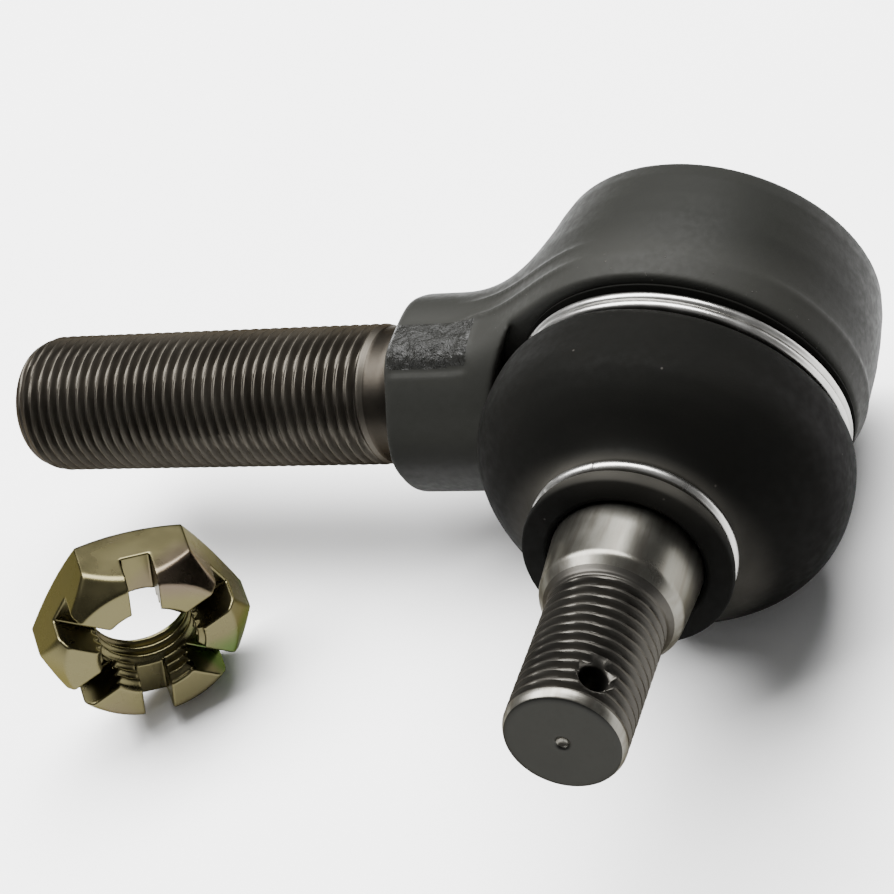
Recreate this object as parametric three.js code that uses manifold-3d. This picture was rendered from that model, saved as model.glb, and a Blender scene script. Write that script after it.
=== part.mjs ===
// Tie rod end: a forged socket with a threaded shank, a tilting and turning ball stud, its bearing
// seats, preload spring and closing plate, a rubber dust boot with its two clips, and a castle nut.
// Millimetres, +Z up. The part lies on its side: the socket's axis is the Y axis, with the closing
// plate's outer face at the origin and the stud towards -Y. The threaded shank runs along -X.
// The pieces of the socket are drawn in the socket's own frame, whose z runs from the closing plate
// towards the stud, and one group turns that frame onto its side.
import * as THREE from 'three';
import { mergeVertices } from 'three/addons/utils/BufferGeometryUtils.js';
import Module from 'manifold-3d';

const wasm = await Module();
wasm.setup();

// Driving dimensions.
const BALL_HEIGHT = 18.5;        // ball centre above the closing plate's outer face
const BALL_RADIUS = 12;
const STUD_TILT_X = -12;         // degrees from the socket's axis as the part lies, about x
const STUD_TILT_Y = 5;           // and about y
const GAP = 0.3;                 // clearance between neighbouring pieces

const SOCKET_RADIUS = 22.2;      // widest part of the forged socket
const SOCKET_FRONT = 1.4;        // the front shoulder, from the ball centre
const CAVITY_RADIUS = 14.9;
const MOUTH_COLLAR_RADIUS = 16.2;

const SHANK_RADIUS = 9;          // M18 x 1.5, modelled at its major diameter
const SHANK_START = 41.5;        // distances from the socket's axis along the shank
const SHANK_END = 95;
const SHANK_CHAMFER = 1.6;
const RUNOUT_RADIUS = 8.5;       // plain length between the thread and the neck
const NECK_START = 36.8;
const NECK_HALF = 11.4;          // half the width of the neck
const NECK_BEVEL = 7;

const SPRING_RADIUS = 12.6;

const STUD_THREAD_RADIUS = 7;    // M14 x 1.5, modelled at its major diameter
const STUD_END = 62.3;           // distances from the ball centre along the stud
const STUD_THREAD_START = 42.2;
const TAPER_START = 33.4;
const TAPER_END = 40.5;
const TAPER_BIG_RADIUS = 8.9;
const TAPER_SMALL_RADIUS = 8.4;
const STUD_NECK_RADIUS = 6.5;
const COTTER_HOLE_RADIUS = 1.6;
const COTTER_HOLE_DISTANCE = 57.4;
const COTTER_HOLE_ANGLE = 51;    // degrees round the stud

const BOOT_WALL = 1.7;
const BOOT_SPLIT = 11.5;         // the boot's widest ring, from the ball centre
const CLIP_WIRE_RADIUS = 0.7;
const CLIP_RADIUS = 20.1;        // to the middle of the wire
const CLIP_PITCH = 1.7;

const NUT_FLATS = 24;            // across flats
const NUT_HEIGHT = 10;
const NUT_BORE_RADIUS = 6.2;     // minor diameter of M14 x 1.5
const NUT_SLOT_WIDTH = 3.8;
const NUT_SLOT_DEPTH = 5;
const NUT_YAW = 36;              // degrees, the way the castle end faces as the nut lies on its side
const NUT_ROLL = -21;            // degrees about its own axis, from having a flat on top
const NUT_LIFT = (NUT_FLATS / Math.sqrt(3)) * Math.cos((30 + NUT_ROLL) * (Math.PI / 180));
const NUT_PLACE = [-74.3, -44.8, NUT_LIFT - SOCKET_RADIUS];

const FINE = 40;                 // segments round a large diameter
const COARSE = 36;

const degrees = (angle) => THREE.MathUtils.degToRad(angle);

// ---- Solids -------------------------------------------------------------------------------

// A closed geometry with merged corners and no collapsed triangles, as a solid.
function toSolid(geometry) {
  const bare = geometry.clone();
  bare.deleteAttribute('normal');
  bare.deleteAttribute('uv');
  const merged = mergeVertices(bare, 1e-4);
  const corners = merged.index.array;
  const kept = [];
  for (let i = 0; i < corners.length; i += 3) {
    const [a, b, c] = [corners[i], corners[i + 1], corners[i + 2]];
    if (a !== b && b !== c && c !== a) kept.push(a, b, c);
  }
  return new wasm.Manifold(new wasm.Mesh({
    numProp: 3,
    vertProperties: Float32Array.from(merged.attributes.position.array),
    triVerts: Uint32Array.from(kept),
  }));
}

// A solid back as a three.js geometry.
function toGeometry(solid) {
  const mesh = solid.getMesh();
  const geometry = new THREE.BufferGeometry();
  const points = new Float32Array((mesh.vertProperties.length / mesh.numProp) * 3);
  for (let i = 0; i < points.length / 3; i += 1) {
    for (let k = 0; k < 3; k += 1) points[3 * i + k] = mesh.vertProperties[mesh.numProp * i + k];
  }
  geometry.setAttribute('position', new THREE.BufferAttribute(points, 3));
  geometry.setIndex(new THREE.BufferAttribute(Uint32Array.from(mesh.triVerts), 1));
  geometry.computeVertexNormals();
  return geometry;
}

// Profile points are [radius, height], from the bottom up along the outside.
function turned(profile, segments = FINE) {
  const points = profile.map(([radius, height]) => new THREE.Vector2(radius, height));
  return new THREE.LatheGeometry(points, segments).rotateX(Math.PI / 2);
}

// A turned ring: the outside from the bottom up, then the inside from the top down.
function turnedRing(outside, inside, segments = FINE) {
  return turned([...outside, ...inside, outside[0]], segments);
}

// The same height shift for each point of a profile drawn from the ball centre.
const fromBall = (profile) => profile.map(([radius, height]) => [radius, height + BALL_HEIGHT]);

// Points of a circular arc of a profile, between two angles measured from the axis.
function profileArc(radius, fromAngle, toAngle, steps) {
  const points = [];
  for (let i = 0; i <= steps; i += 1) {
    const angle = degrees(fromAngle + ((toAngle - fromAngle) * i) / steps);
    points.push([radius * Math.sin(angle), radius * Math.cos(angle)]);
  }
  return points;
}

// A closed skin through rings of points: rings with the same count, capped at both ends.
function lofted(rings) {
  const count = rings[0].length;
  const positions = rings.flat().flatMap((p) => [p.x, p.y, p.z]);
  const index = [];
  for (let r = 0; r + 1 < rings.length; r += 1) {
    for (let i = 0; i < count; i += 1) {
      const a = r * count + i;
      const b = r * count + ((i + 1) % count);
      index.push(a, b, b + count, a, b + count, a + count);
    }
  }
  const last = (rings.length - 1) * count;
  for (let i = 1; i + 1 < count; i += 1) {
    index.push(0, i + 1, i);
    index.push(last, last + i, last + i + 1);
  }
  const geometry = new THREE.BufferGeometry();
  geometry.setAttribute('position', new THREE.Float32BufferAttribute(positions, 3));
  geometry.setIndex(index);
  return geometry;
}

// A closed tube wall through rings of points: out along the outer rings and back along the inner.
function loftedWall(rings) {
  const count = rings[0].length;
  const positions = rings.flat().flatMap((p) => [p.x, p.y, p.z]);
  const index = [];
  for (let r = 0; r < rings.length; r += 1) {
    const next = (r + 1) % rings.length;
    for (let i = 0; i < count; i += 1) {
      const j = (i + 1) % count;
      index.push(r * count + i, r * count + j, next * count + j);
      index.push(r * count + i, next * count + j, next * count + i);
    }
  }
  const geometry = new THREE.BufferGeometry();
  geometry.setAttribute('position', new THREE.Float32BufferAttribute(positions, 3));
  geometry.setIndex(index);
  return geometry;
}

// ---- The forged socket ---------------------------------------------------------------------

function socketOutside() {
  return turned([
    [0, 0],
    [17.6, 0],
    [19, 0.7],
    [19.9, 2.6],
    [21.2, 6.2],
    [SOCKET_RADIUS, 10],
    [SOCKET_RADIUS, 16.8],
    [21.3, BALL_HEIGHT + SOCKET_FRONT - 0.8],
    [20.4, BALL_HEIGHT + SOCKET_FRONT],
    [MOUTH_COLLAR_RADIUS, BALL_HEIGHT + SOCKET_FRONT],
    [MOUTH_COLLAR_RADIUS, BALL_HEIGHT + 8],
    [16.8, BALL_HEIGHT + 8.4],
    [16.8, BALL_HEIGHT + 9.8],
    [15.8, BALL_HEIGHT + 10.5],
    [0, BALL_HEIGHT + 10.5],
  ]);
}

// Pocket for the plate, bore for the seats, and the mouth that keeps the ball in.
function socketCavity() {
  return turned([
    [0, -1],
    [14.6, -1],
    [14.6, 1.5],
    [16.3, 1.7],
    [16.3, 4.2],
    [CAVITY_RADIUS, 4.2],
    [CAVITY_RADIUS, BALL_HEIGHT + 3.1],
    [12.4, BALL_HEIGHT + 6.8],
    [11.1, BALL_HEIGHT + 6.9],
    [13.2, BALL_HEIGHT + 10.6],
    [13.2, BALL_HEIGHT + 12],
    [0, BALL_HEIGHT + 12],
  ]);
}

// One section of the neck: a bevelled rectangle across the shank's axis at a distance along it.
function neckSection(distance, half, low, high, bevel) {
  const corners = [
    [half - bevel, low],
    [half, low + bevel],
    [half, high - bevel],
    [half - bevel, high],
    [bevel - half, high],
    [-half, high - bevel],
    [-half, low + bevel],
    [bevel - half, low],
  ];
  return corners.map(([y, z]) => new THREE.Vector3(-distance, y, BALL_HEIGHT + z)).reverse();
}

function socketNeck() {
  return lofted([
    neckSection(10, 19, -16, 1, 2),
    neckSection(17, 16, -14.5, 6, 2.4),
    neckSection(21.5, 12.4, -12, 9, 3),
    neckSection(26, NECK_HALF, -NECK_HALF, NECK_HALF + 0.6, NECK_BEVEL),
    neckSection(NECK_START - 1.5, NECK_HALF, -NECK_HALF, NECK_HALF + 0.6, NECK_BEVEL),
    neckSection(NECK_START, NECK_HALF - 1.4, 1.4 - NECK_HALF, NECK_HALF - 0.8, NECK_BEVEL - 0.8),
  ]);
}

// Plain runout and thread, turned about the shank's axis and laid along -x.
function socketShank() {
  const shank = turned([
    [0, NECK_START - 4],
    [RUNOUT_RADIUS, NECK_START - 4],
    [RUNOUT_RADIUS, SHANK_START - 0.5],
    [SHANK_RADIUS, SHANK_START],
    [SHANK_RADIUS, SHANK_END - SHANK_CHAMFER],
    [SHANK_RADIUS - SHANK_CHAMFER, SHANK_END],
    [0, SHANK_END],
  ], COARSE);
  return shank.rotateY(-Math.PI / 2).translate(0, 0, BALL_HEIGHT);
}

// The space round the mouth collar that the boot's bead needs.
function bootClearance() {
  const bottom = BALL_HEIGHT + SOCKET_FRONT;
  return turnedRing([[23, bottom], [23, bottom + 14]], [
    [MOUTH_COLLAR_RADIUS, bottom + 14],
    [MOUTH_COLLAR_RADIUS, bottom],
  ]);
}

function socketHousing() {
  const neck = toSolid(socketNeck()).subtract(toSolid(bootClearance()));
  const forging = toSolid(socketOutside()).add(neck).add(toSolid(socketShank()));
  return toGeometry(forging.subtract(toSolid(socketCavity())));
}

// ---- Inside the socket ---------------------------------------------------------------------

// Pressed plate with a flat middle, held at its edge by the rolled rim of the socket.
function closingPlate() {
  return turned([
    [0, 0],
    [11, 0],
    [12.2, 1.9],
    [15.9, 2],
    [15.9, 3.9],
    [11.4, 3.9],
    [10.2, 2],
    [0, 2],
  ]);
}

function preloadSpring() {
  const turns = 2;
  const low = 4.9;
  const high = 7.7;
  const path = new THREE.CatmullRomCurve3(Array.from({ length: 24 * turns + 1 }, (_, i) => {
    const angle = (i / 24) * 2 * Math.PI;
    const height = THREE.MathUtils.lerp(low, high, i / (24 * turns));
    return new THREE.Vector3(SPRING_RADIUS * Math.cos(angle), SPRING_RADIUS * Math.sin(angle), height);
  }));
  const wire = new THREE.Shape().absarc(0, 0, 0.6, 0, 2 * Math.PI);
  return new THREE.ExtrudeGeometry(wire, {
    steps: 24 * turns, curveSegments: 4, bevelEnabled: false, extrudePath: path,
  });
}

// The ball rides in two seats: a spring-loaded one below it and a fixed one above it.
const SEAT_RADIUS = BALL_RADIUS + GAP + 0.05;

function lowerSeat() {
  const inside = profileArc(SEAT_RADIUS, 93, 143, 8);
  return turnedRing(
    fromBall([[SEAT_RADIUS * Math.sin(degrees(143)), -9.9], [14.5, -9.9], [14.5, -0.65]]),
    fromBall(inside.slice(0, -1)),
    COARSE,
  );
}

function upperSeat() {
  const inside = profileArc(SEAT_RADIUS, 60, 89, 5);
  return turnedRing(
    fromBall([[14.5, SEAT_RADIUS * Math.cos(degrees(89))], [14.5, 2.9], [12.1, 6.3]]),
    fromBall(inside),
    COARSE,
  );
}

// ---- The ball stud, drawn upright from the ball centre --------------------------------------

function ballStud() {
  const neckAngle = THREE.MathUtils.radToDeg(Math.asin(STUD_NECK_RADIUS / BALL_RADIUS));
  const ball = profileArc(BALL_RADIUS, 180, neckAngle, 16);
  const stud = toSolid(turned([
    ...ball,
    [STUD_NECK_RADIUS, 16.5],
    [TAPER_BIG_RADIUS, 20.5],
    [TAPER_BIG_RADIUS, TAPER_START],
    [TAPER_SMALL_RADIUS, TAPER_END],
    [STUD_THREAD_RADIUS, STUD_THREAD_START],
    [STUD_THREAD_RADIUS, STUD_END - 1],
    [STUD_THREAD_RADIUS - 0.9, STUD_END],
    [0, STUD_END],
  ], COARSE));
  const drill = new THREE.CylinderGeometry(COTTER_HOLE_RADIUS, COTTER_HOLE_RADIUS, 20, 16);
  drill.rotateZ(Math.PI / 2 + degrees(COTTER_HOLE_ANGLE)).translate(0, 0, COTTER_HOLE_DISTANCE);
  return toGeometry(stud.subtract(toSolid(drill)));
}

// ---- The dust boot --------------------------------------------------------------------------

// Bead round the mouth collar, with the groove for the wire clip and the boot's widest part.
function bootBase() {
  return turnedRing(
    fromBall([
      [16.5, 1.7],
      [20.6, 1.7],
      [20.6, 2.0],
      [19.1, 2.2],
      [19.1, 7.2],
      [20.6, 7.4],
      [21.5, 8.6],
      [22, 10.2],
      [22, BOOT_SPLIT],
    ]),
    fromBall([
      [22 - BOOT_WALL, BOOT_SPLIT],
      [20, 10],
      [19.3, 9.1],
      [17.5, 8.6],
      [16.5, 7.6],
    ]),
  );
}

// Heights, radii and share of the stud's tilt along the upper wall of the boot.
const BOOT_RINGS = [
  [11.8, 22, 0],
  [14.5, 22, 0.25],
  [17.3, 21.7, 0.48],
  [20, 20.5, 0.69],
  [22.3, 18.5, 0.85],
  [24.5, 15.6, 0.95],
  [26.9, 12, 1],
];

// A ring round the line from the ball centre that is tilted by a share of the stud's tilt.
function tiltedRing(height, radius, share) {
  const turn = new THREE.Euler(degrees(STUD_TILT_X) * share, degrees(STUD_TILT_Y) * share, 0);
  return Array.from({ length: COARSE }, (_, i) => {
    const angle = (i / COARSE) * 2 * Math.PI;
    const point = new THREE.Vector3(radius * Math.cos(angle), radius * Math.sin(angle), height);
    return point.applyEuler(turn).add(new THREE.Vector3(0, 0, BALL_HEIGHT));
  });
}

function bootWall() {
  const outer = BOOT_RINGS.map(([height, radius, share]) => tiltedRing(height, radius, share));
  const inner = BOOT_RINGS.map(([height, radius, share], i) => {
    const drop = i === 0 ? 0 : (0.9 * i) / BOOT_RINGS.length;
    return tiltedRing(height - (i === BOOT_RINGS.length - 1 ? 0 : drop), radius - BOOT_WALL, share);
  });
  return loftedWall([...outer, ...inner.reverse()]);
}

// Collar on the stud, with the groove for the small ring and the lip that seals on the stud.
function bootNeck() {
  return turnedRing([
    [TAPER_BIG_RADIUS + GAP, 27.2],
    [11.9, 27.2],
    [11.9, 28.6],
    [10.7, 28.8],
    [10.7, 30.9],
    [12.3, 31.1],
    [12.5, 32.9],
    [12.2, 33.2],
  ], [
    [TAPER_BIG_RADIUS + GAP, 33.2],
  ], COARSE);
}

function neckRing() {
  return turnedRing([[11, 29.1], [12.2, 29.2], [12.2, 30.5], [11, 30.6]], [], COARSE);
}

function bootClip() {
  const turns = 2;
  const low = BALL_HEIGHT + 3;
  const path = new THREE.CatmullRomCurve3(Array.from({ length: 32 * turns }, (_, i) => {
    const angle = (i / 32) * 2 * Math.PI;
    const height = low + (CLIP_PITCH * i) / 32;
    return new THREE.Vector3(CLIP_RADIUS * Math.cos(angle), CLIP_RADIUS * Math.sin(angle), height);
  }));
  const wire = new THREE.Shape().absarc(0, 0, CLIP_WIRE_RADIUS, 0, 2 * Math.PI);
  return new THREE.ExtrudeGeometry(wire, {
    steps: 32 * turns, curveSegments: 4, bevelEnabled: false, extrudePath: path,
  });
}

// ---- The castle nut, drawn with its base at z = 0 and its slots at the top --------------------

function castleNut() {
  const cornerRadius = NUT_FLATS / Math.sqrt(3);
  const hexagon = new THREE.Shape(Array.from({ length: 6 }, (_, i) => new THREE.Vector2(
    cornerRadius * Math.cos((i * Math.PI) / 3),
    cornerRadius * Math.sin((i * Math.PI) / 3),
  )));
  const blank = new THREE.ExtrudeGeometry(hexagon, { depth: NUT_HEIGHT, bevelEnabled: false });
  const rounding = turned([
    [0, 0],
    [NUT_FLATS / 2 - 0.3, 0],
    [cornerRadius + 0.1, 1.2],
    [cornerRadius + 0.1, NUT_HEIGHT - 2.4],
    [NUT_FLATS / 2 - 0.9, NUT_HEIGHT],
    [0, NUT_HEIGHT],
  ]);
  const bore = new THREE.CylinderGeometry(NUT_BORE_RADIUS, NUT_BORE_RADIUS, 3 * NUT_HEIGHT, COARSE);
  let nut = toSolid(blank).intersect(toSolid(rounding)).subtract(toSolid(bore.rotateX(Math.PI / 2)));
  for (let i = 0; i < 3; i += 1) {
    const slot = new THREE.BoxGeometry(NUT_SLOT_WIDTH, 2 * NUT_FLATS, 2 * NUT_SLOT_DEPTH);
    slot.translate(0, 0, NUT_HEIGHT).rotateZ((i * Math.PI) / 3);
    nut = nut.subtract(toSolid(slot));
  }
  return toGeometry(nut);
}

// ---- The assembly ---------------------------------------------------------------------------

function piece(name, geometry, colour, roughness, metalness) {
  const material = new THREE.MeshStandardMaterial({ color: colour, roughness, metalness });
  const mesh = new THREE.Mesh(geometry, material);
  mesh.name = name;
  return mesh;
}

const socket = new THREE.Group();
socket.rotation.x = Math.PI / 2;
socket.add(
  piece('socket_housing', socketHousing(), 0x56585a, 0.5, 0.3),
  piece('closing_plate', closingPlate(), 0x5c5e60, 0.45, 0.4),
  piece('preload_spring', preloadSpring(), 0x9a9a98, 0.35, 0.9),
  piece('lower_seat', lowerSeat(), 0xd8d2be, 0.6, 0),
  piece('upper_seat', upperSeat(), 0xd8d2be, 0.6, 0),
  piece('boot_base', bootBase(), 0x2c2c2e, 0.75, 0),
  piece('boot_wall', bootWall(), 0x2c2c2e, 0.75, 0),
  piece('boot_clip', bootClip(), 0xd0d0cc, 0.3, 1),
);

const stud = new THREE.Group();
stud.position.z = BALL_HEIGHT;
stud.rotation.set(degrees(STUD_TILT_X), degrees(STUD_TILT_Y), 0);
stud.add(
  piece('boot_neck', bootNeck(), 0x2c2c2e, 0.75, 0),
  piece('neck_ring', neckRing(), 0xd0d0cc, 0.3, 1),
  piece('ball_stud', ballStud(), 0xb4b2aa, 0.35, 1),
);
socket.add(stud);

const nut = new THREE.Group();
nut.position.set(...NUT_PLACE);
nut.rotation.set(Math.PI / 2, 0, degrees(NUT_YAW), 'ZYX');
nut.add(piece('castle_nut', castleNut().rotateZ(degrees(NUT_ROLL)), 0xa8a27c, 0.4, 0.9));

const tieRodEnd = new THREE.Group();
tieRodEnd.add(socket, nut);

export default tieRodEnd;
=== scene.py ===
"""Tie rod end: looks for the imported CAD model.

Lengths are millimetres in the socket's own frame, whose z runs from the closing plate towards the stud,
until to_world() turns them into metres in the frame's axes.
"""
import math

import bmesh
import bpy
import numpy as np
from mathutils import Matrix, Vector


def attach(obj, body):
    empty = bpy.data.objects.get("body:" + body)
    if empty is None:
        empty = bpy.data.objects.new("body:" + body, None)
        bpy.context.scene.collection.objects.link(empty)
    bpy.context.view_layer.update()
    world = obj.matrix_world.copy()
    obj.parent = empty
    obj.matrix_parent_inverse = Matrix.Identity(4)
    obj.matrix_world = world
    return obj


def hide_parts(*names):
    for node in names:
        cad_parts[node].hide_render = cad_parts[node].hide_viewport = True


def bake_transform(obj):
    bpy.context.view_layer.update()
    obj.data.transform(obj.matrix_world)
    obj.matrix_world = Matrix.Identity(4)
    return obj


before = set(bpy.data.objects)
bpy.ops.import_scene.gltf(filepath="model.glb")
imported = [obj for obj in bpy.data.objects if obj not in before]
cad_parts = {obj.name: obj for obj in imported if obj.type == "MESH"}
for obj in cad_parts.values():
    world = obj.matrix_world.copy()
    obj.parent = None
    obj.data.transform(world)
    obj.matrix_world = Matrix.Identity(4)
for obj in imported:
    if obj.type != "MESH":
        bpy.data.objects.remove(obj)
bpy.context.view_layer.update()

MM = 0.001

# ---- Driving dimensions, the same as the CAD model's ---------------------------------------------
BALL = 18.5                    # ball centre above the closing plate's outer face
TILT_X = math.radians(-12)     # how the stud leans in the socket as the part lies
TILT_Y = math.radians(5)
SOCKET_RADIUS = 22.2
FRONT = BALL + 1.4             # the socket's front shoulder
SHANK_START, SHANK_END, SHANK_RADIUS = 41.5, 95.0, 9.0
NECK_START, NECK_HALF = 36.8, 11.4
STUD_END, STUD_THREAD_START, STUD_RADIUS = 62.3, 42.2, 7.0
TAPER_END = 40.5
PITCH = 1.5                    # of both threads
COTTER_DISTANCE, COTTER_ANGLE, COTTER_RADIUS = 57.4, math.radians(51), 1.6
NUT_FLATS, NUT_HEIGHT, NUT_BORE, NUT_SLOT_DEPTH = 24.0, 10.0, 6.2, 5.0
NUT_YAW, NUT_ROLL = math.radians(36), math.radians(-21)
# the nut's centre above the surface that its lowest edge lies on
NUT_LIFT = NUT_FLATS / math.sqrt(3) * math.cos(math.radians(30) + NUT_ROLL)
NUT_PLACE = (-74.3, -44.8, NUT_LIFT - SOCKET_RADIUS)

ROUND = 128                    # columns round a turned piece


# ---- Frames --------------------------------------------------------------------------------------
def to_world(points):
    """Socket frame in millimetres to the frame's axes in metres."""
    p = np.asarray(points, float)
    return np.stack([p[..., 0], -p[..., 2], p[..., 1]], -1) * MM


def lean(points, share=1.0):
    """Points drawn upright from the ball centre, leaned by a share of the stud's tilt: one, or an array."""
    p = np.asarray(points, float)
    a, b = TILT_X * np.asarray(share), TILT_Y * np.asarray(share)
    x = p[..., 0] * np.cos(b) + p[..., 2] * np.sin(b)
    z = -p[..., 0] * np.sin(b) + p[..., 2] * np.cos(b)
    y = p[..., 1] * np.cos(a) - z * np.sin(a)
    return np.stack([x, y, p[..., 1] * np.sin(a) + z * np.cos(a) + BALL], -1)


def from_nut(points):
    """The nut's own frame, base at z = 0 and castle end up, to the frame's axes in metres."""
    p = np.asarray(points, float)
    c, s = math.cos(NUT_ROLL), math.sin(NUT_ROLL)
    x, y, z = c * p[..., 0] - s * p[..., 1], -p[..., 2], s * p[..., 0] + c * p[..., 1]
    c, s = math.cos(NUT_YAW), math.sin(NUT_YAW)
    return (np.stack([c * x - s * y, s * x + c * y, z], -1) + np.array(NUT_PLACE)) * MM


# ---- Mesh helpers --------------------------------------------------------------------------------
def make_object(name, points, faces, sharp=35):
    """A smooth-shaded object, with edges kept sharp where faces meet at more than so many degrees."""
    mesh = bpy.data.meshes.new(name)
    mesh.from_pydata([tuple(p) for p in points.tolist()], [], [tuple(f) for f in faces])
    mesh.update()
    bm = bmesh.new()
    bm.from_mesh(mesh)
    bmesh.ops.remove_doubles(bm, verts=bm.verts, dist=1e-7)
    bmesh.ops.dissolve_degenerate(bm, edges=bm.edges, dist=1e-7)
    bmesh.ops.recalc_face_normals(bm, faces=bm.faces)
    bm.to_mesh(mesh)
    bm.free()
    mesh.shade_smooth()
    mesh.set_sharp_from_angle(angle=math.radians(sharp))
    obj = bpy.data.objects.new(name, mesh)
    bpy.context.scene.collection.objects.link(obj)
    return obj


def grid_faces(rows, columns, close_rows=False):
    """Quads between rings of points, and from the last ring back to the first if the rows close."""
    faces = []
    for r in range(rows if close_rows else rows - 1):
        n = (r + 1) % rows
        for c in range(columns):
            d = (c + 1) % columns
            faces.append((r * columns + c, r * columns + d, n * columns + d, n * columns + c))
    return faces


def resample(profile, step):
    """Adds points along each straight stretch of a profile, so that no row is longer than step."""
    rows = [profile[0]]
    for a, b in zip(profile[:-1], profile[1:]):
        count = max(1, math.ceil(math.dist(a, b) / step))
        rows += [tuple(np.array(a) + (np.array(b) - np.array(a)) * i / count) for i in range(1, count + 1)]
    return rows


def rounded(corners, radius):
    """A profile with each inner corner rounded; a corner may carry its own radius as a third number."""
    steps = 5
    out = [tuple(corners[0][:2])]
    for before, corner, after in zip(corners[:-2], corners[1:-1], corners[2:]):
        r = corner[2] if len(corner) > 2 else radius
        b, c, a = (np.array(p[:2], float) for p in (before, corner, after))
        to_b, to_a = b - c, a - c
        size_b, size_a = np.linalg.norm(to_b), np.linalg.norm(to_a)
        r = min(r, 0.45 * size_b, 0.45 * size_a)
        if r < 1e-3:
            out.append(tuple(c))
            continue
        p, q = c + to_b / size_b * r, c + to_a / size_a * r
        for i in range(steps + 1):
            t = i / steps
            out.append(tuple((1 - t) ** 2 * p + 2 * t * (1 - t) * c + t * t * q))
    out.append(tuple(corners[-1][:2]))
    return out


def turn(profile, columns=ROUND):
    """Rings of points round the z axis, one for each point (radius, height) of a profile."""
    angle = np.linspace(0, 2 * math.pi, columns, endpoint=False)
    r = np.array([p[0] for p in profile])[:, None]
    z = np.array([p[1] for p in profile])[:, None]
    return np.stack([r * np.cos(angle), r * np.sin(angle), z + 0 * angle], -1)


def rings_object(name, points, close_rows=False):
    """An object over points in the frame's axes, in an array of (row, column, 3)."""
    rows, columns = points.shape[:2]
    return make_object(name, points.reshape(-1, 3), grid_faces(rows, columns, close_rows))


# ---- Surfaces of fields --------------------------------------------------------------------------
def smooth_min(a, b, k):
    """The smaller of two fields, with their meeting rounded over about k millimetres."""
    h = np.clip(0.5 + 0.5 * (b - a) / k, 0, 1)
    return b + (a - b) * h - k * h * (1 - h)


def smooth_max(a, b, k):
    return -smooth_min(-a, -b, k)


def outline_field(r, z, outline):
    """Signed distance to a closed outline, negative inside."""
    distance = np.full(r.shape, 1e9)
    sign = np.ones(r.shape)
    count = len(outline)
    for i in range(count):
        (ax, ay), (bx, by) = outline[i], outline[i - 1]
        ex, ey = bx - ax, by - ay
        wx, wy = r - ax, z - ay
        t = np.clip((wx * ex + wy * ey) / (ex * ex + ey * ey), 0, 1)
        distance = np.minimum(distance, (wx - ex * t) ** 2 + (wy - ey * t) ** 2)
        above, below, side = z >= ay, z < by, ex * wy > ey * wx
        crossing = (above & below & side) | (~above & ~below & ~side)
        sign = np.where(crossing, -sign, sign)
    return sign * np.sqrt(distance)


def field_surface(name, field, low, high, step, place, polish=2):
    """The zero surface of a field of (x, y, z) in millimetres, as one object of quads (surface nets)."""
    axes = [np.arange(low[k], high[k] + step, step) for k in range(3)]
    grid = np.stack(np.meshgrid(*axes, indexing="ij"), -1)
    value = field(grid)
    cells = tuple(n - 1 for n in value.shape)
    total, weight = np.zeros(cells + (3,)), np.zeros(cells)

    def part(offset):
        return tuple(slice(o, o + n) for o, n in zip(offset, cells))

    for axis in range(3):
        for u in (0, 1):
            for v in (0, 1):
                start = [u, v]
                start.insert(axis, 0)
                end = list(start)
                end[axis] = 1
                a, b = value[part(start)], value[part(end)]
                cross = (a < 0) != (b < 0)
                t = np.where(cross, a / np.where(cross, a - b, 1), 0)
                for k in range(3):
                    total[..., k] += cross * (start[k] + (t if k == axis else 0))
                weight += cross
    active = weight > 0
    index = np.full(cells, -1)
    index[active] = np.arange(active.sum())
    corner = np.argwhere(active)
    points = np.array(low) + (corner + total[active] / weight[active][:, None]) * step
    quads = []
    for axis in range(3):
        others = [k for k in range(3) if k != axis]
        a = value[tuple(slice(0, -1) if k == axis else slice(1, -1) for k in range(3))]
        b = value[tuple(slice(1, None) if k == axis else slice(1, -1) for k in range(3))]
        cross = np.argwhere((a < 0) != (b < 0))
        inside = a[tuple(cross.T)] < 0
        ring = []
        for du, dv in ((0, 0), (1, 0), (1, 1), (0, 1)):
            cell = cross.copy()
            cell[:, others[0]] += du
            cell[:, others[1]] += dv
            ring.append(index[tuple(cell.T)])
        quad = np.stack(ring, -1)
        flip = inside if axis != 1 else ~inside
        quad[~flip] = quad[~flip][:, ::-1]
        quads.append(quad)
    for _ in range(polish):
        here = field(points)
        slope = np.stack([(field(points + d) - here) / 0.01 for d in np.eye(3) * 0.01], -1)
        size = np.maximum((slope**2).sum(-1), 0.2)
        points = points - np.clip(here / size, -step / 2, step / 2)[:, None] * slope
    faces = np.concatenate(quads)
    return make_object(name, place(points), faces.tolist(), sharp=180)


# ---- The forged socket ---------------------------------------------------------------------------
NECK_RADIUS, NECK_FLAT = 12.5, 10.5    # the neck's round bar, and its flat facing up and towards the stud
EDGE = 0.6                     # rounding of the forging's edges
GRID_STEP = 0.4                # cell of the forging's surface grid
BARREL = [(0, 0.6), (19.0, 0.6), (19.9, 1.3), (20.4, 3.2), (20.9, 6.6), (21.2, 10.0), (21.3, 16.4),
          (20.8, FRONT - 0.9), (20.1, FRONT - 0.6), (0, FRONT - 0.6)]
BARREL_SHIFT = 0.7             # the barrel's outside stands this much nearer the shank than its bore does
COLLAR = [(0, 6), (16.2, 6), (16.2, BALL + 8), (16.8, BALL + 8.4), (16.8, BALL + 9.8), (15.8, BALL + 10.5),
          (0, BALL + 10.5)]
CAVITY = [(0, -2), (14.6, -2), (14.9, 1.5), (16.3, 1.7), (16.3, 4.2), (14.9, 4.2), (14.9, BALL + 3.1),
          (12.4, BALL + 6.8), (11.1, BALL + 6.9), (13.2, BALL + 10.6), (13.2, BALL + 13), (0, BALL + 13)]
BOOT_ROOM = [(0, FRONT), (23.0, FRONT), (23.0, FRONT + 20), (0, FRONT + 20)]
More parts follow.
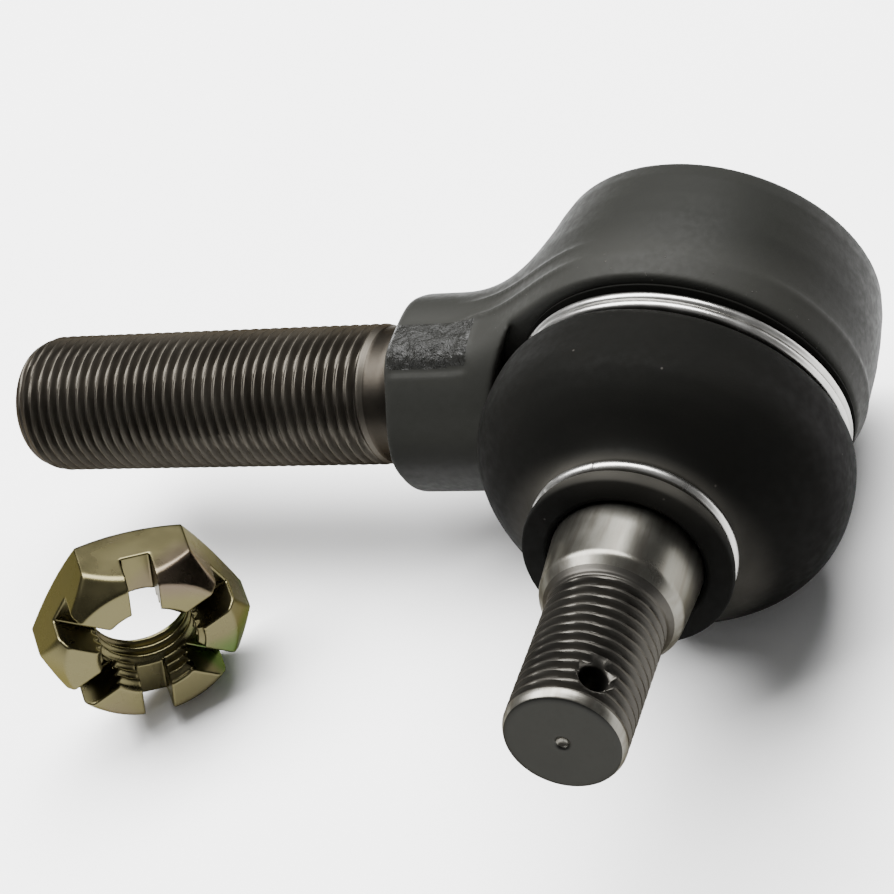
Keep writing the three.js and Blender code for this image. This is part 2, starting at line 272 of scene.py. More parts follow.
# trimmed flash: the middle's distance from the axis and from the ball centre, and half its size
FLASH_PLACE, FLASH_DEPTH = 30.6, 1.6
FLASH_HALF_LENGTH, FLASH_HALF_WIDTH = 5.4, 2.8
# half the size of the patch with the flash's paint, and how far out to each side it starts
FLASH_PAINT_LENGTH, FLASH_PAINT_WIDTH, FLASH_PAINT_SIDE = 5.6, 2.9, 9
GROOVE_PLACE, GROOVE_DEPTH, GROOVE_RADIUS = 30.4, 4.7, 0.55    # groove that runs beside the flash
RIDGES = ((16.3, 0.45), (13.9, 0.40))         # height and half width of the two parting ridges


def neck_field(x, y, z):
    """A round bar with flattened sides along the shank's axis, and the trimmed flash on its two sides."""
    depth = z - BALL
    side = smooth_max(np.hypot(y, depth) - NECK_RADIUS, np.abs(y) - NECK_HALF, 1.0)
    side = smooth_max(side, (y + depth) / math.sqrt(2) - NECK_FLAT, 1.6)
    neck = smooth_max(side, -NECK_START - x, np.clip(1.5 - 0.1 * depth, 0.6, 2.4))
    grain = np.sin(1.3 * x + 0.9 * depth) * np.sin(1.7 * depth - 0.6 * x) + np.sin(2.4 * x - 1.5 * depth)
    flash = smooth_max(neck - 0.22 - 0.05 * grain, np.abs(depth - FLASH_DEPTH) - FLASH_HALF_WIDTH, 0.6)
    flash = smooth_max(flash, np.abs(x + FLASH_PLACE) - FLASH_HALF_LENGTH, 0.8)
    groove = np.hypot(neck - 0.35, depth - GROOVE_DEPTH) - GROOVE_RADIUS
    groove = smooth_max(groove, np.abs(x + GROOVE_PLACE) - FLASH_HALF_LENGTH, 0.5)
    return smooth_max(smooth_min(neck, flash, 0.5), -groove, 0.5)


def parting_line(x, z):
    """Height of the two thin ridges that the dies left on the ends of the socket."""
    (first, first_width), (second, second_width) = RIDGES
    line = np.exp(-(((z - first + 0.02 * x) / first_width) ** 2))
    line = line + 0.8 * np.exp(-(((z - second) / second_width) ** 2)) * (x < 0)
    ends = np.clip((np.abs(x - 3) - 8) / 6, 0, 1) * np.clip((x + 29) / 5, 0, 1)
    return np.where(x < 0, 0.28, 0.14) * line * ends


def forging_field(p):
    """The socket's barrel, neck and collar as one field, less the boot's room and the cavity."""
    x, y, z = p[..., 0], p[..., 1], p[..., 2]
    r = np.hypot(x, y)
    body = outline_field(np.hypot(x + BARREL_SHIFT, y), z, BARREL) - EDGE
    neck = np.maximum(neck_field(x, y, z), x + 8)
    body = smooth_min(body, neck, 9.0) - parting_line(x, z)
    body = smooth_max(body, -outline_field(r, z, BOOT_ROOM), 0.8)
    body = np.minimum(body, outline_field(r, z, COLLAR))
    return smooth_max(body, -outline_field(r, z, CAVITY), 0.3)


def make_forging():
    low, high = (-NECK_START - 1.5, -23.5, -1.5), (23.5, 23.5, BALL + 12.8)
    return field_surface("forged_socket", forging_field, low, high, GRID_STEP, to_world)


# ---- Threads -------------------------------------------------------------------------------------
THREAD_ROW = PITCH / 11        # longest row of a threaded piece
THREAD_EXIT = 0.25             # length over which a thread runs out at its end


def thread_depth(turns):
    """Depth of a rolled 60 degree thread, 0 at a crest and 1 at a root, against turns of its helix."""
    t = np.abs((turns % 1.0) * 2 - 1)
    ramp = np.clip((t - 0.12) / 0.72, 0, 1)
    return ramp * ramp * (3 - 2 * ramp) * 0.35 + ramp * 0.65


def threaded_rings(profile, depth, start, end, fade):
    """Rings round z, with a right-hand thread cut between two heights of a profile of (radius, height)."""
    rings = turn(profile)
    r = np.array([p[0] for p in profile])[:, None]
    z = np.array([p[1] for p in profile])[:, None]
    angle = np.linspace(0, 2 * math.pi, ROUND, endpoint=False)[None, :]
    cut = thread_depth(z / PITCH - angle / (2 * math.pi))
    strength = np.clip((z - start) / fade, 0, 1) * np.clip((end - z) / THREAD_EXIT, 0, 1)
    outer = max(p[0] for p in profile if start <= p[1] <= end)
    target = np.minimum(r, outer - depth * cut)
    radius = r + (target - r) * strength
    rings[..., 0], rings[..., 1] = radius * np.cos(angle), radius * np.sin(angle)
    return rings


def along_shank(points):
    """Turned points about z laid along the shank; their height is the distance from the socket's axis."""
    p = np.asarray(points, float)
    return to_world(np.stack([-p[..., 2], p[..., 1], p[..., 0] + BALL], -1))


def make_shank():
    profile = rounded([
        (0, NECK_START - 3),
        (8.4, NECK_START - 3),
        (8.4, NECK_START + 0.5, 0.5),
        (8.7, NECK_START + 1.6, 0.5),
        (8.6, SHANK_START - 0.8, 0.3),
        (SHANK_RADIUS, SHANK_START, 0.2),
        (SHANK_RADIUS, SHANK_END - 3.4, 1.0),
        (SHANK_RADIUS - 1.0, SHANK_END - 1.0, 0.9),
        (SHANK_RADIUS - 2.4, SHANK_END, 0.3),
        (0, SHANK_END),
    ], 0.3)
    rows = resample(profile, THREAD_ROW)
    rings = threaded_rings(rows, 0.86, SHANK_START - 0.3, SHANK_END - 0.8, fade=1.2)
    return rings_object("shank_thread", along_shank(rings))


def on_stud(points):
    """Points about the stud's own axis, from the ball centre, to the frame's axes in metres."""
    return to_world(lean(points))


def make_stud():
    neck_radius, ball_radius = 6.5, 12.0
    first = math.asin(neck_radius / ball_radius)
    ball = [(ball_radius * math.sin(a), ball_radius * math.cos(a)) for a in np.linspace(math.pi, first, 40)]
    shaft = rounded([
        ball[-1],
        (neck_radius, 16.5, 2.0),
        (8.9, 20.5, 1.0),
        (8.92, 33.4, 0.3),
        (8.42, TAPER_END, 0.4),
        (7.15, STUD_THREAD_START + 0.1, 0.4),
        (STUD_RADIUS, STUD_THREAD_START + 0.6, 0.2),
        (STUD_RADIUS, STUD_END - 1.0, 0.5),
        (STUD_RADIUS - 0.4, STUD_END - 0.12, 0.35),
        (STUD_RADIUS - 0.9, STUD_END, 0.3),
        (0.9, STUD_END, 0.3),
        (0.55, STUD_END - 0.45, 0.3),
        (0, STUD_END - 0.6),
    ], 0.4)
    rows = ball[:-1] + resample(shaft, THREAD_ROW)
    rings = threaded_rings(rows, 0.85, STUD_THREAD_START + 0.2, STUD_END - 1.4, fade=1.0)
    stud = rings_object("stud", on_stud(rings))
    hole, mouth = COTTER_RADIUS + 0.1, COTTER_RADIUS + 2.1
    drill = rounded([
        (0, -12),
        (mouth, -12),
        (mouth, -8.0),
        (hole, -6.0, 0.3),
        (hole, 6.0, 0.3),
        (mouth, 8.0),
        (mouth, 12),
        (0, 12),
    ], 0.1)
    cut_away(stud, rings_object("cotter_drill", on_stud(across_stud(turn(drill, 48)))))
    return stud


def across_stud(points):
    """Turned points about z laid across the stud along the cotter hole."""
    p = np.asarray(points, float)
    c, s = math.cos(COTTER_ANGLE), math.sin(COTTER_ANGLE)
    x, y = c * p[..., 2] - s * p[..., 1], s * p[..., 2] + c * p[..., 1]
    return np.stack([x, y, p[..., 0] + COTTER_DISTANCE], -1)


def cut_away(obj, tool):
    """Cuts one object out of another, and removes the tool."""
    modifier = obj.modifiers.new("cut", "BOOLEAN")
    modifier.operation, modifier.solver, modifier.object = "DIFFERENCE", "EXACT", tool
    bpy.context.view_layer.update()
    depsgraph = bpy.context.evaluated_depsgraph_get()
    mesh = bpy.data.meshes.new_from_object(obj.evaluated_get(depsgraph))
    obj.modifiers.clear()
    obj.data = mesh
    bpy.data.objects.remove(tool)


# ---- The dust boot -------------------------------------------------------------------------------
SEAM = 18.5                    # height over the ball centre where the two boot pieces meet
BEND_START, BEND_END = 9.2, 25.3    # heights between which the dome bends
BOOT_WALL = 1.7                # thickness of the wall
BOOT_OUTSIDE = [(21.0, 6.0), (21.9, 7.4), (22.4, 9.4), (22.6, 11.8), (22.55, 14.4), (22.15, 16.6),
                (21.45, SEAM), (20.5, 20.1), (18.7, 22.2), (16.7, 23.8), (14.6, 25.1), (12.9, 26.2),
                (12.1, 27.0), (11.9, 27.7)]


def smoothstep(x, a, b):
    """0 below a, 1 above b, and an even curve between."""
    t = np.clip((x - a) / (b - a), 0, 1)
    return t * t * (3 - 2 * t)


def boot_share(height):
    """How much of the stud's lean the boot has at a height over the ball centre."""
    return smoothstep(height, 8.0, 27.0)


def curve_through(points, count):
    """Catmull-Rom points through a list."""
    p = np.array([points[0]] + list(points) + [points[-1]], float)
    out = []
    for i in range(1, len(p) - 2):
        for t in np.linspace(0, 1, count, endpoint=False):
            a, b, c, d = p[i - 1], p[i], p[i + 1], p[i + 2]
            out.append(0.5 * (2 * b + (c - a) * t + (2 * a - 5 * b + 4 * c - d) * t**2
                              + (3 * b - a - 3 * c + d) * t**3))
    out.append(p[-2])
    return [tuple(q) for q in out]


def boot_object(name, profile):
    """A closed profile turned, with each height leaned by the boot's share."""
    rings = turn(profile)
    return rings_object(name, to_world(lean(rings, boot_share(rings[..., 2]))), close_rows=True)


def make_boot_lower(outside):
    """Bead, clip groove and the lower half of the dome."""
    wall = [p for p in outside if p[1] <= SEAM + 1e-6]
    inside = [(r - BOOT_WALL, h - 0.25) for r, h in wall if h > BEND_START]
    bead = rounded([(16.5, 7.7), (16.5, 1.7), (20.6, 1.7), (20.7, 2.0), (19.3, 2.3), (19.3, 5.7),
                    (20.1, 5.75), wall[0]], 0.3)
    profile = bead[:-1] + wall + [(inside[-1][0], SEAM)] + inside[::-1][1:] + [(19.2, 9.1), (17.5, 8.6)]
    return boot_object("boot_lower", profile)


def make_boot_upper(outside):
    """The upper half of the dome, the groove for the neck ring and the lip on the stud."""
    wall = [p for p in outside if p[1] >= SEAM - 1e-6]
    lip = rounded([
        wall[-1],
        (11.8, 28.6, 0.3),
        (10.9, 28.9, 0.3),
        (10.9, 30.7, 0.2),
        (12.2, 31.0, 0.35),
        (12.5, 32.3, 0.4),
        (12.35, 33.0, 0.3),
        (9.6, 33.15, 0.3),
        (8.98, 32.6, 0.3),
        (8.98, 28.0, 0.5),
        (9.6, 26.6),
    ], 0.3)
    inside = [(r - BOOT_WALL, h - 0.4) for r, h in wall if SEAM + 1.0 < h < 25.2]
    profile = wall + lip[1:] + inside[::-1] + [(wall[0][0] - BOOT_WALL, SEAM)]
    return boot_object("boot_upper", profile)


# ---- Clips ---------------------------------------------------------------------------------------
CLIP_TURNS, CLIP_RADIUS, CLIP_WIRE = 2.06, 20.0, 0.6
CLIP_BASE, CLIP_RISE = BALL + 2.92, 1.2       # the wire's start above the plate, and its rise in each turn
RING_RADIUS, RING_HEIGHT, RING_WIRE = 11.65, 29.8, 0.68
RING_JOINT, RING_SECOND_JOINT = math.radians(96), math.radians(131)


def wire_object(name, centres, radius, place):
    """A round wire with domed ends along a list of points."""
    sides = 16
    path = np.array(centres, float)
    tangent = np.gradient(path, axis=0)
    tangent /= np.linalg.norm(tangent, axis=1)[:, None]
    up = np.tile([0.0, 0.0, 1.0], (len(path), 1))
    out = np.cross(tangent, up)
    out /= np.linalg.norm(out, axis=1)[:, None]
    up = np.cross(out, tangent)
    angle = np.linspace(0, 2 * math.pi, sides, endpoint=False)
    ring = out[:, None, :] * np.cos(angle)[None, :, None] + up[:, None, :] * np.sin(angle)[None, :, None]
    rows = []
    for bend in (0.0, 0.4, 0.7, 0.9):
        rows.append(path[0] - tangent[0] * radius * math.sqrt(1 - bend**2) + ring[0] * radius * bend)
    rows += list(path[:, None, :] + ring * radius)
    for bend in (0.9, 0.7, 0.4, 0.0):
        rows.append(path[-1] + tangent[-1] * radius * math.sqrt(1 - bend**2) + ring[-1] * radius * bend)
    return rings_object(name, place(np.array(rows)))


def make_boot_clip():
    """Two turns of wire and a little more, climbing the boot's bead."""
    steps = 260
    points = []
    for i in range(steps + 1):
        t = i / steps * CLIP_TURNS
        angle = 2 * math.pi * (t - 0.10)
        height = CLIP_BASE + CLIP_RISE * t
        points.append((CLIP_RADIUS * math.cos(angle), CLIP_RADIUS * math.sin(angle), height))
    return wire_object("boot_clip_wire", points, CLIP_WIRE, to_world)


def make_neck_ring():
    """A split ring of round wire whose ends all but meet, with a second butt joint further round."""
    gap, start, second = math.radians(1.3), RING_JOINT, RING_SECOND_JOINT
    parts = []
    for low, high in ((start + gap, second - gap * 0.6), (second + gap * 0.6, start + 2 * math.pi - gap)):
        steps = max(12, int(150 * (high - low) / (2 * math.pi)))
        angles = np.linspace(low, high, steps)
        points = [(RING_RADIUS * math.cos(a), RING_RADIUS * math.sin(a), RING_HEIGHT) for a in angles]
        parts.append(wire_object("neck_ring_wire", points, RING_WIRE, on_stud))
    return join(parts)


def join(objects):
    """All the meshes in the first object; the others are removed."""
    bm = bmesh.new()
    for obj in objects:
        bm.from_mesh(obj.data)
    bm.to_mesh(objects[0].data)
    bm.free()
    for extra in objects[1:]:
        bpy.data.objects.remove(extra)
    return objects[0]


# ---- The castle nut ------------------------------------------------------------------------------
NUT_GRID_STEP = 0.2
NUT_CORNER = NUT_FLATS / math.sqrt(3)         # from the axis to an edge between two flats
SLOT_HALF = 1.9


def nut_field(p):
    """A hexagon with chamfered ends, a slot through the middle of each flat, and a threaded bore."""
    x, y, z = p[..., 0], p[..., 1], p[..., 2]
    angle = np.arctan2(y, x)
    r = np.hypot(x, y)
    sector = (angle % (math.pi / 3)) - math.pi / 6
    across, along = r * np.cos(sector), r * np.sin(sector)
    body = smooth_max(across - NUT_FLATS / 2, np.abs(z - NUT_HEIGHT / 2) - NUT_HEIGHT / 2, 0.22)
    crown = (r - (NUT_FLATS / 2 - 0.9)) * 0.80 + (z - NUT_HEIGHT) * 0.60
    base = (r - (NUT_FLATS / 2 - 0.2)) * 0.42 - z * 0.90
    body = smooth_max(body, crown, 0.35)
    body = smooth_max(body, base, 0.25)
    slot = smooth_max(np.abs(along) - SLOT_HALF, NUT_HEIGHT - NUT_SLOT_DEPTH - z, 0.25)
    body = smooth_max(body, -slot, 0.2)
    turns = z / PITCH - angle / (2 * math.pi)
    thread = NUT_BORE + 0.82 * (1 - thread_depth(turns))
    lead_in = np.maximum(NUT_BORE + 0.9 - np.minimum(z, NUT_HEIGHT - z), 0)
    bore = np.maximum(thread, lead_in)
    return np.maximum(body, (bore - r) * 0.75)


def make_nut():
    margin = 0.6
    half = NUT_CORNER + margin
    low, high = (-half, -half, -margin), (half, half, NUT_HEIGHT + margin)
    return field_surface("castle_nut_plated", nut_field, low, high, NUT_GRID_STEP, from_nut)


# ---- The closing plate ---------------------------------------------------------------------------
def make_plate():
    """The closing plate: a pressed disc with a raised middle and a flat rim."""
    profile = rounded([
        (0, 0),
        (10.8, 0, 0.8),
        (12.3, 1.9, 0.8),
        (15.8, 2.0, 0.3),
        (15.8, 3.8, 0.3),
        (11.2, 3.8, 0.6),
        (10.0, 2.1, 0.6),
        (0, 2.0),
    ], 0.5)
    return rings_object("pressed_plate", to_world(turn(profile)))


# ---- Materials -----------------------------------------------------------------------------------
class Finish:
    """One node material, built a step at a time from object coordinates in millimetres."""

    def __init__(self, name, colour, roughness, metallic=0.0):
        self.material = bpy.data.materials.new(name)
        self.material.use_nodes = True
        self.tree = self.material.node_tree
        self.shader = self.tree.nodes["Principled BSDF"]
        self.shader.inputs["Base Color"].default_value = (*colour, 1)
        self.shader.inputs["Roughness"].default_value = roughness
        self.shader.inputs["Metallic"].default_value = metallic
        coordinates = self.node("ShaderNodeTexCoord")
        scale = self.node("ShaderNodeVectorMath", operation="SCALE")
        scale.inputs["Scale"].default_value = 1 / MM
        self.link(coordinates.outputs["Object"], scale.inputs[0])
        self.place = scale.outputs[0]
        self.height = None

    def node(self, kind, **settings):
        made = self.tree.nodes.new(kind)
        for key, value in settings.items():
            setattr(made, key, value)
        return made

    def link(self, output, socket):
        self.tree.links.new(output, socket)

    def set(self, **values):
        """Shader inputs by name, with _ for each space."""
        for key, value in values.items():
            self.shader.inputs[key.replace("_", " ")].default_value = value
        return self

    def noise(self, per_mm, detail=4.0, roughness=0.55, distortion=0.0, stretch=None):
        made = self.node("ShaderNodeTexNoise")
        made.inputs["Scale"].default_value = per_mm
        made.inputs["Detail"].default_value = detail
        made.inputs["Roughness"].default_value = roughness
        made.inputs["Distortion"].default_value = distortion
        place = self.place
        if stretch:
            mapping = self.node("ShaderNodeMapping")
            mapping.inputs["Scale"].default_value = stretch
            self.link(place, mapping.inputs[0])
            place = mapping.outputs[0]
        self.link(place, made.inputs["Vector"])
        return made.outputs[0]

    def cells(self, per_mm):
        made = self.node("ShaderNodeTexVoronoi")
        made.inputs["Scale"].default_value = per_mm
        self.link(self.place, made.inputs["Vector"])
        return made.outputs["Distance"]

    def ramp(self, value, *stops):
        """A colour ramp over a value. Each stop is (place, grey or colour)."""
        made = self.node("ShaderNodeValToRGB")
        elements = made.color_ramp.elements
        while len(elements) < len(stops):
            elements.new(0.5)
        for element, (position, colour) in zip(elements, stops):
            element.position = position
            element.color = (*colour, 1) if isinstance(colour, tuple) else (colour, colour, colour, 1)
        self.link(value, made.inputs[0])
        return made.outputs[0]

    def math(self, operation, a, b=0.0):
        made = self.node("ShaderNodeMath", operation=operation)
        for socket, value in zip(made.inputs, (a, b)):
            if isinstance(value, (int, float)):
                socket.default_value = value
            else:
                self.link(value, socket)
        return made.outputs[0]

    def mix(self, factor, a, b):
        made = self.node("ShaderNodeMix", data_type="RGBA")
        for socket, value in ((made.inputs[0], factor), (made.inputs[6], a), (made.inputs[7], b)):
            if isinstance(value, (int, float)):
                socket.default_value = value
            elif isinstance(value, tuple):
                socket.default_value = (*value, 1)
            else:
                self.link(value, socket)
        return made.outputs[2]

    def colour(self, value):
        self.link(value, self.shader.inputs["Base Color"])
        return self

    def rough(self, value):
        self.link(value, self.shader.inputs["Roughness"])
        return self

    def bump(self, value, depth_mm, strength):
        made = self.node("ShaderNodeBump")
        made.inputs["Strength"].default_value = strength
        made.inputs["Distance"].default_value = depth_mm * MM
        self.link(value, made.inputs["Height"])
        if self.height:
            self.link(self.height, made.inputs["Normal"])
        self.height = made.outputs[0]
        self.link(self.height, self.shader.inputs["Normal"])
        return self


Y = 1                          # the frame's y axis, which runs from the stud back to the closing plate


def band(finish, axis, low, high, soft):
    """1 between two places along an axis of the frame in millimetres, fading to 0 over a soft length."""
    split = finish.node("ShaderNodeSeparateXYZ")
    finish.link(finish.place, split.inputs[0])
    rise = finish.node("ShaderNodeMapRange", interpolation_type="SMOOTHSTEP")
    fall = finish.node("ShaderNodeMapRange", interpolation_type="SMOOTHSTEP")
    for made, start, end in ((rise, low - soft, low), (fall, high + soft, high)):
        made.inputs["From Min"].default_value = start
        made.inputs["From Max"].default_value = end
        finish.link(split.outputs[axis], made.inputs["Value"])
    return finish.math("MULTIPLY", rise.outputs[0], fall.outputs[0])


def paint_finish():
    """Thin dark grey paint over a shot-blasted forging, paler and specked along the rolled rim."""
    f = Finish("forging_paint", (0.010, 0.010, 0.009), 0.5)
    f.set(Specular_IOR_Level=0.05)
    broad = f.noise(0.09, 3.0)
    fine = f.noise(1.1, 5.0)
    tone = f.ramp(broad, (0.3, (0.0092, 0.0094, 0.0082)), (0.7, (0.0106, 0.0107, 0.0094)))
    tone = f.mix(band(f, Y, -20.5, -17.5, 7.0), tone, (0.0165, 0.0165, 0.0147))
    worn = f.ramp(f.noise(0.9, 4.0), (0.52, 0.0), (0.60, 1.0))
    rim = f.math("MULTIPLY", band(f, Y, -19.8, -17.2, 1.5), worn)
    specks = f.math("MULTIPLY", f.ramp(f.noise(2.1, 2.0), (0.68, 0.0), (0.74, 1.0)), rim)
    f.colour(f.mix(f.math("MULTIPLY", specks, 0.6), tone, (0.08, 0.076, 0.068)))
    f.rough(f.ramp(fine, (0.35, 0.46), (0.65, 0.58)))
    f.bump(broad, 0.25, 0.3)
    f.bump(fine, 0.05, 0.35)
    f.bump(f.noise(5.0, 3.0), 0.010, 0.4)
    f.bump(specks, 0.12, 0.8)
    return f.material


def flash_finish():
    """The same paint pooled and glossy over the torn metal where the flash was trimmed off."""
    f = Finish("flash_paint", (0.012, 0.012, 0.011), 0.25)
    f.set(Specular_IOR_Level=0.12)
    torn = f.noise(0.55, 5.0, 0.6, 0.8)
    f.colour(f.ramp(torn, (0.35, (0.008, 0.008, 0.007)), (0.70, (0.013, 0.013, 0.012))))
    f.rough(f.ramp(f.noise(1.6, 4.0), (0.35, 0.14), (0.70, 0.36)))
    f.bump(torn, 0.9, 0.8)
    return f.material


def rubber_finish():
    """Matt black moulded rubber with a few specks of dust, and a patchy brownish painted highlight in a
    band towards its collar.
    """
    f = Finish("boot_rubber", (0.004, 0.004, 0.004), 0.7)
    f.set(Specular_IOR_Level=0.02)
    plain = f.ramp(f.noise(0.12, 4.0), (0.3, (0.0033, 0.0033, 0.0029)), (0.7, (0.0041, 0.0040, 0.0035)))
    # painted highlight: a patchy, lighter brownish band across the boot near the neck ring, placed along
    # the frame's y
    thin = f.ramp(f.noise(0.10, 3.0), (0.3, 0.4), (0.7, 1.0))
    painted_highlight = f.math("MULTIPLY", band(f, Y, -46.8, -44.5, 2.6), thin)
    dust = f.ramp(f.cells(0.21), (0.022, 1.0), (0.038, 0.0))
    clouded = f.mix(painted_highlight, plain, (0.0240, 0.0226, 0.0194))
    f.colour(f.mix(f.math("MULTIPLY", dust, 0.4), clouded, (0.06, 0.055, 0.05)))
    f.rough(f.ramp(f.noise(0.8, 4.0), (0.35, 0.62), (0.65, 0.76)))
    f.bump(f.noise(0.35, 3.0), 0.03, 0.3)
    f.bump(f.noise(3.0, 4.0), 0.006, 0.4)
    return f.material


def steel_finish(name, dark, light, stain, roughness, grain=4.0, brush=None):
    """Bare steel: clouded tone, fine stains, and brush marks drawn out by a stretch for each axis."""
    f = Finish(name, light, roughness, 1.0)
    f.set(Specular_Tint=(0.35, 0.34, 0.32, 1))
    cloud = f.noise(0.12, 4.0)
    fine = f.noise(1.8, 4.0)
    tone = f.mix(f.ramp(cloud, (0.35, 0.0), (0.65, 1.0)), dark, light)
    if brush:
        tone = f.mix(f.ramp(f.noise(1.0, 3.0, stretch=brush), (0.40, 0.0), (0.68, 0.8)), tone, stain)
    f.colour(f.mix(f.ramp(fine, (0.5, 0.0), (0.8, 0.25)), tone, stain))
    f.rough(f.ramp(cloud, (0.3, roughness - 0.03), (0.7, roughness + 0.05)))
    f.bump(f.noise(grain, 3.0), 0.003, 0.4)
    if brush:
        f.bump(f.noise(1.0, 2.0, stretch=brush), 0.003, 0.4)
    return f.material


def zinc_finish():
    """Yellow zinc plating, whose thin film turns from olive to pink and green from place to place."""
    f = Finish("nut_zinc", (0.08, 0.07, 0.04), 0.26, 1.0)
    f.set(Specular_Tint=(0.45, 0.44, 0.40, 1))
    film = f.noise(0.055, 2.0, 0.4, 0.4)
    f.colour(f.ramp(
        film,
        (0.30, (0.044, 0.064, 0.022)),
        (0.40, (0.076, 0.068, 0.036)),
        (0.62, (0.080, 0.071, 0.036)),
        (0.70, (0.074, 0.058, 0.043)),
        (0.80, (0.066, 0.062, 0.036)),
    ))
    f.rough(f.ramp(f.noise(0.25, 3.0), (0.3, 0.24), (0.7, 0.32)))
    f.bump(f.noise(0.5, 3.0), 0.008, 0.3)
    return f.material


def wire_finish():
    """Drawn spring wire, bright with faint draw marks."""
    f = Finish("clip_steel", (0.62, 0.62, 0.60), 0.2, 1.0)
    clouds = f.noise(0.25, 2.0)
    f.colour(f.ramp(clouds, (0.35, (0.32, 0.315, 0.30)), (0.65, (0.40, 0.395, 0.38))))
    f.rough(f.ramp(clouds, (0.3, 0.26), (0.7, 0.34)))
    f.bump(f.noise(0.6, 2.0), 0.004, 0.3)
    return f.material


def seat_finish():
    """Cream bearing plastic, darker and glossier where it is greased."""
    f = Finish("seat_plastic", (0.72, 0.69, 0.58), 0.45)
    grease = f.noise(0.2, 4.0)
    f.colour(f.ramp(grease, (0.4, (0.74, 0.70, 0.60)), (0.7, (0.50, 0.44, 0.30))))
    f.rough(f.ramp(grease, (0.4, 0.5), (0.7, 0.2)))
    return f.material


# ---- Building ------------------------------------------------------------------------------------
def finish_piece(obj, material):
    """Gives a piece its one material."""
    obj.data.materials.clear()
    obj.data.materials.append(material)


paint = paint_finish()
rubber = rubber_finish()
wire = wire_finish()
shank_steel = steel_finish(
    "shank_steel", (0.040, 0.036, 0.030), (0.056, 0.051, 0.043), (0.032, 0.025, 0.019), 0.46)
runout_steel = steel_finish(
    "runout_steel", (0.020, 0.018, 0.015), (0.030, 0.026, 0.021), (0.016, 0.012, 0.009), 0.42)
stud_steel = steel_finish(
    "stud_steel", (0.040, 0.038, 0.034), (0.054, 0.051, 0.045), (0.034, 0.029, 0.024), 0.42)
taper_steel = steel_finish(
    "taper_steel", (0.115, 0.112, 0.097), (0.150, 0.146, 0.129), (0.095, 0.088, 0.075), 0.30,
    brush=(1.2, 0.03, 1.2))
end_steel = steel_finish(
    "end_steel", (0.021, 0.021, 0.0195), (0.026, 0.026, 0.024), (0.020, 0.019, 0.018), 0.45, grain=2.5)

forging = make_forging()
finish_piece(forging, paint)
forging.data.materials.append(flash_finish())
for polygon in forging.data.polygons:
    x, depth, side = np.array(polygon.center) / MM * (1, -1, 1) - (0, BALL, 0)
    near = abs(x + FLASH_PLACE) < FLASH_PAINT_LENGTH and abs(depth - FLASH_DEPTH) < FLASH_PAINT_WIDTH
    polygon.material_index = int(near and abs(side) > FLASH_PAINT_SIDE)
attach(forging, "socket")
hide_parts("socket_housing")

shank = make_shank()
finish_piece(shank, shank_steel)
shank.data.materials.append(runout_steel)
for polygon in shank.data.polygons:
    polygon.material_index = int(polygon.center.x > -(SHANK_START - 0.6) * MM)
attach(shank, "socket")

plate = make_plate()
finish_piece(plate, paint)
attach(plate, "socket")
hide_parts("closing_plate")

stud = make_stud()
finish_piece(stud, stud_steel)
for material in (taper_steel, end_steel):
    stud.data.materials.append(material)
ball_centre = on_stud(np.zeros(3))
studward = on_stud(np.array((0, 0, 1.0))) - ball_centre
tip_face, chamfer_start = STUD_END - 0.2, STUD_END - 1.3
for polygon in stud.data.polygons:
    along = (np.array(polygon.center) - ball_centre) @ studward / MM**2
    if along < TAPER_END + 1.2 or chamfer_start < along < tip_face:
        polygon.material_index = 1
    elif along >= tip_face:
        polygon.material_index = 2
    else:
        polygon.material_index = 0
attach(stud, "stud")
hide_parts("ball_stud")

boot_outside = curve_through(BOOT_OUTSIDE, 4)
boot_lower = make_boot_lower(boot_outside)
boot_upper = make_boot_upper(boot_outside)
for piece in (boot_lower, boot_upper):
    finish_piece(piece, rubber)
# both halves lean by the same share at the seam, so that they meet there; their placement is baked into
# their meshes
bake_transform(boot_lower)
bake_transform(boot_upper)
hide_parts("boot_base", "boot_wall")
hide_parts("boot_neck")

clip = make_boot_clip()
finish_piece(clip, wire)
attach(clip, "socket")
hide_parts("boot_clip")

ring = make_neck_ring()
finish_piece(ring, wire)
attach(ring, "boot_top")
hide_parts("neck_ring")

nut = make_nut()
finish_piece(nut, zinc_finish())
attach(nut, "nut")
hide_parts("castle_nut")

# the spring and the two seats keep their CAD shapes
seat = seat_finish()
for node_name, material in (("preload_spring", shank_steel), ("lower_seat", seat), ("upper_seat", seat)):
    node_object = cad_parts[node_name]
    node_object.data.materials.clear()
    node_object.data.materials.append(material)


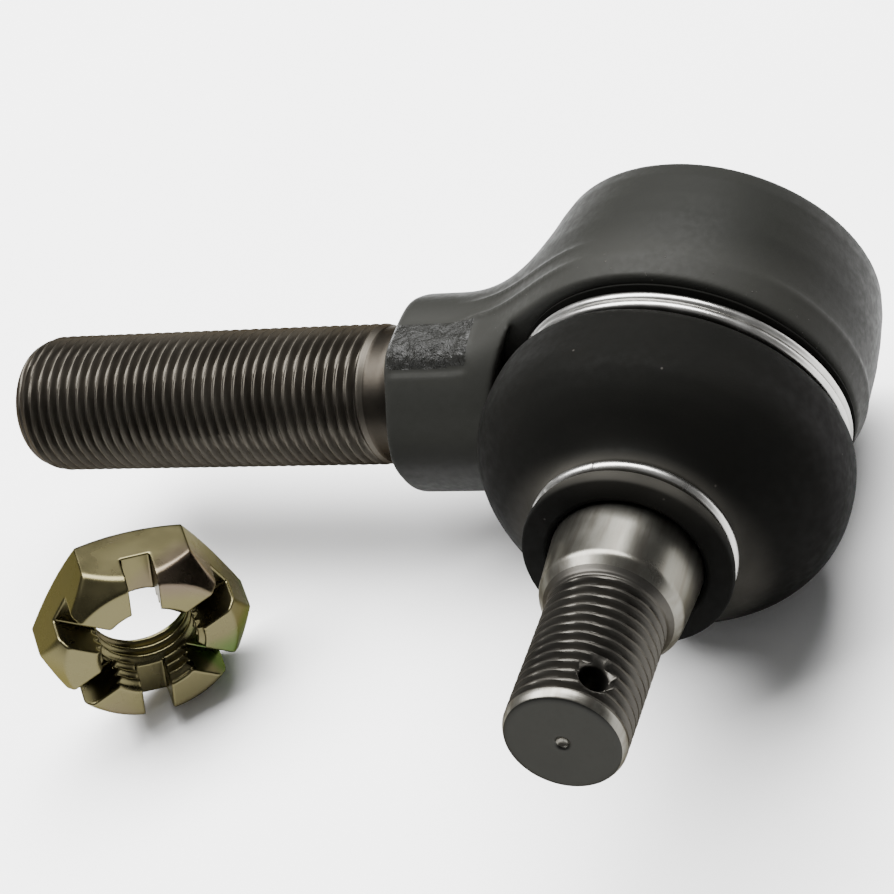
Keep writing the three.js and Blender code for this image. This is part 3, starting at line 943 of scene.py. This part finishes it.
# ---- Floor, light and camera ---------------------------------------------------------------------
def make_floor():
    """A white surface just under the socket's lowest point, in metres."""
    z = -(SOCKET_RADIUS + 0.25) * MM
    half = 3.0
    corners = [(-half, -half, z), (half, -half, z), (half, half, z), (-half, half, z)]
    mesh = bpy.data.meshes.new("floor")
    mesh.from_pydata(corners, [], [(0, 1, 2, 3)])
    obj = bpy.data.objects.new("floor", mesh)
    bpy.context.scene.collection.objects.link(obj)
    f = Finish("floor_white", (0.93, 0.93, 0.93), 0.7)
    f.colour(f.ramp(f.noise(0.02, 2.0), (0.3, 0.92), (0.7, 0.95)))
    obj.data.materials.append(f.material)


def make_light():
    """One wide soft light above the back of the part."""
    place, target = Vector((-0.16, 0.17, 0.65)), Vector((-0.03, -0.03, 0.0))
    data = bpy.data.lights.new("key_above", "AREA")
    data.shape, data.size, data.size_y = "RECTANGLE", 1.10, 0.50
    data.energy = 40.0
    obj = bpy.data.objects.new("key_above", data)
    bpy.context.scene.collection.objects.link(obj)
    obj.location = place
    obj.rotation_mode = "QUATERNION"
    obj.rotation_quaternion = (target - place).to_track_quat("-Z", "Y")


def make_camera():
    """The product shot's angle: high at the front right, rolled so that the shank lies level."""
    target = Vector((-26.16, -32.65, 6.42)) * MM
    azimuth, elevation, roll = math.radians(40.087), math.radians(43.113), math.radians(-31.043)
    distance = 388.07 * MM
    level = math.cos(elevation)
    back = Vector((math.sin(azimuth) * level, -math.cos(azimuth) * level, math.sin(elevation)))
    data = bpy.data.cameras.new("camera")
    data.sensor_width, data.lens = 36.0, 129.09
    data.clip_start, data.clip_end = 0.01, 20
    camera = bpy.data.objects.new("camera", data)
    bpy.context.scene.collection.objects.link(camera)
    camera.location = target + back * distance
    camera.rotation_mode = "QUATERNION"
    look = (-back).to_track_quat("-Z", "Y").to_matrix()
    camera.rotation_quaternion = (look @ Matrix.Rotation(roll, 3, "Z")).to_quaternion()
    bpy.context.scene.camera = camera


def make_world():
    """Even white light from all round."""
    world = bpy.data.worlds.new("studio")
    bpy.context.scene.world = world
    world.use_nodes = True
    background = world.node_tree.nodes["Background"]
    background.inputs["Color"].default_value = (1, 1, 1, 1)
    background.inputs["Strength"].default_value = 0.25


make_floor()
make_camera()
make_world()
make_light()
